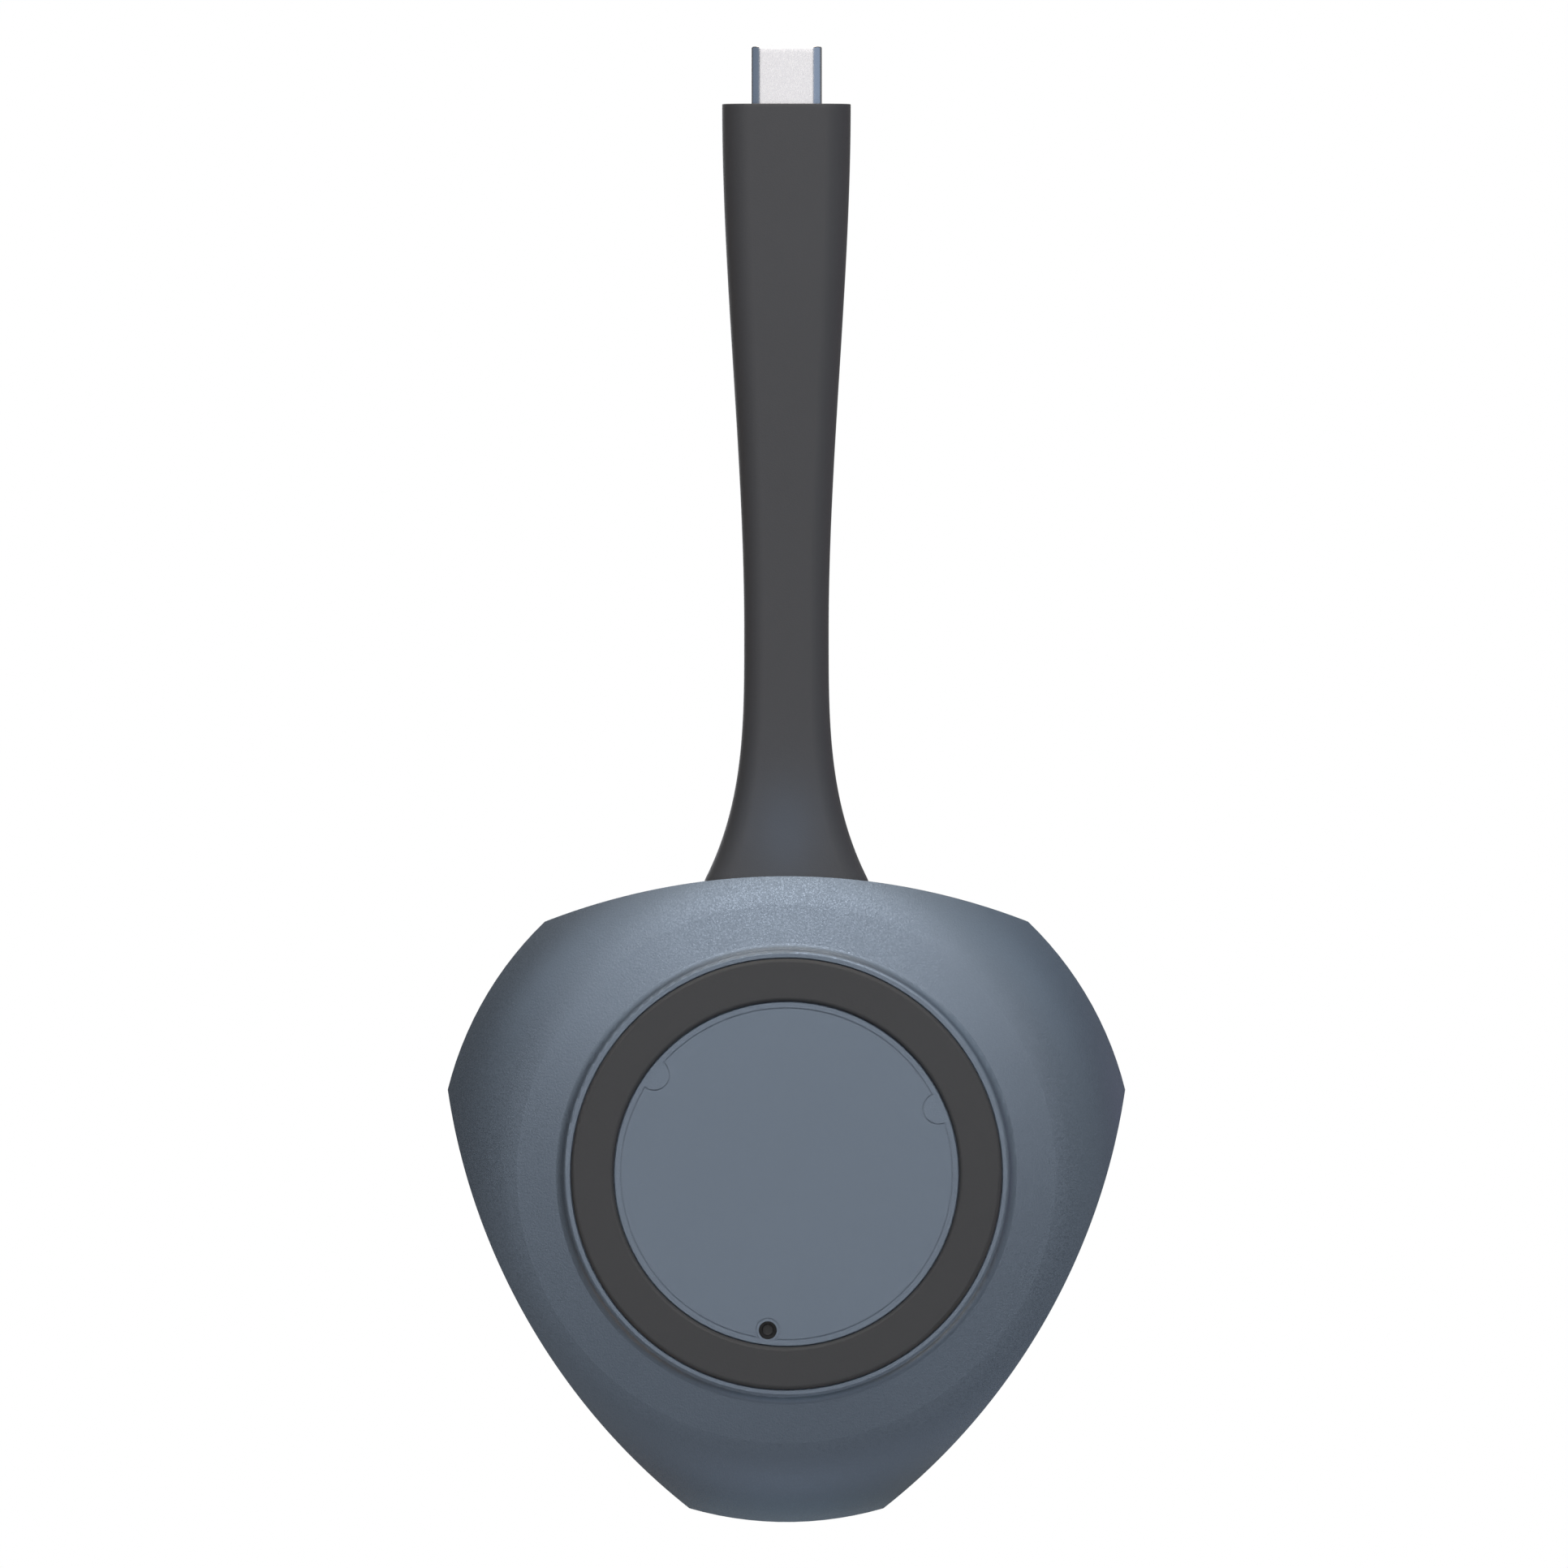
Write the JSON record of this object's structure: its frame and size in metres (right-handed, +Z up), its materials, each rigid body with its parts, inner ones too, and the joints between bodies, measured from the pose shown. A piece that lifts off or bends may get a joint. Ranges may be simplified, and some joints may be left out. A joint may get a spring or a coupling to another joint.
{
  "type": "wireless presentation dongle",
  "caption": "Three-sided puck with a round push button, a light ring and a rubber foot, on a flexible neck with a USB Type-C plug.",
  "frame": {"origin": "centre of the rubber foot ring, on the surface the puck stands on", "axes": "+Z up along the button's axis, from the foot to the button; +Y along the neck towards the plug"},
  "size_m": [0.0784, 0.1709, 0.0152],
  "materials": {
    "shell": "fine moulded texture",
    "rubber": "matte",
    "neck": "soft matte elastomer",
    "label": "bare satin film",
    "light_guide": "translucent diffusing plastic",
    "white_plastic": "moulded",
    "black_plastic": "moulded",
    "board": "solder mask",
    "chip": "epoxy moulding",
    "steel": "satin",
    "nickel": "nickel plated",
    "gold": "gold plated",
    "aluminium": "satin",
    "film": "polyimide film",
    "wire": "extruded insulation",
    "pad": "silicone",
    "tape": "adhesive film",
    "spring_steel": "drawn wire"
  },
  "bodies": {
    "puck": {"rear_shell": "shell", "front_shell": "shell", "foot_ring": "rubber", "foot_tape": "tape", "rating_label": "label", "light_ring": "light_guide", "button_frame": "white_plastic", "led_board": "board", "led_chips": "white_plastic", "led_ribbon": "film", "ribbon_socket": "white_plastic", "frame_screws": "steel", "case_screws": "steel", "main_board": "board", "switch_body": "black_plastic", "reset_body": "black_plastic", "radio_shield": "nickel", "radio_chip": "chip", "memory_chip": "chip", "power_chips": "chip", "crystal": "nickel", "passives": "film", "processor": "chip", "thermal_pad": "pad", "heat_plate": "aluminium", "antenna_left": "gold", "antenna_right": "gold", "cable_header": "white_plastic", "cable_housing": "white_plastic", "cable_wires": "wire", "cable_core": "black_plastic", "neck_root": "neck", "neck_flex": "neck", "button_springs": "spring_steel"},
    "button": {"button_cap": "shell"},
    "switch_tip": {"switch_plunger": "wire"},
    "reset_tip": {"reset_plunger": "black_plastic"},
    "plug": {"neck_head": "neck", "plug_shield": "steel", "inner_mould": "white_plastic", "paddle_board": "board", "marker_chip": "chip", "plug_wires": "wire", "plug_shell": "nickel", "plug_insulator": "black_plastic", "contacts_upper": "gold", "contacts_lower": "gold", "plug_latches": "steel"}
  },
  "joints": [
    {"name": "button_press", "type": "slide", "parent": "puck", "child": "button", "axis": [0, 0, -1], "range_m": [0, 0.0006], "stiffness_N_per_m": 2500, "springref_m": -0.0001, "deforming": ["button_springs"]},
    {"name": "switch_press", "type": "slide", "parent": "puck", "child": "switch_tip", "axis": [0, 0, -1], "range_m": [0, 0.0006]},
    {"name": "reset_press", "type": "slide", "parent": "puck", "child": "reset_tip", "axis": [0, 0, 1], "range_m": [0, 0.00025], "stiffness_N_per_m": 2000, "springref_m": -0.0001},
    {"name": "neck_bend", "type": "hinge", "parent": "puck", "child": "plug", "pos_m": [0, 0.0626, 0.0085], "axis": [1, 0, 0], "range_deg": [-40, 40], "stiffness_Nm_per_rad": 0.15, "deforming": ["neck_flex", "cable_core"]}
  ],
  "couplings": [
    {"joint": "switch_press", "follows": "button_press", "ratio": 1}
  ]
}
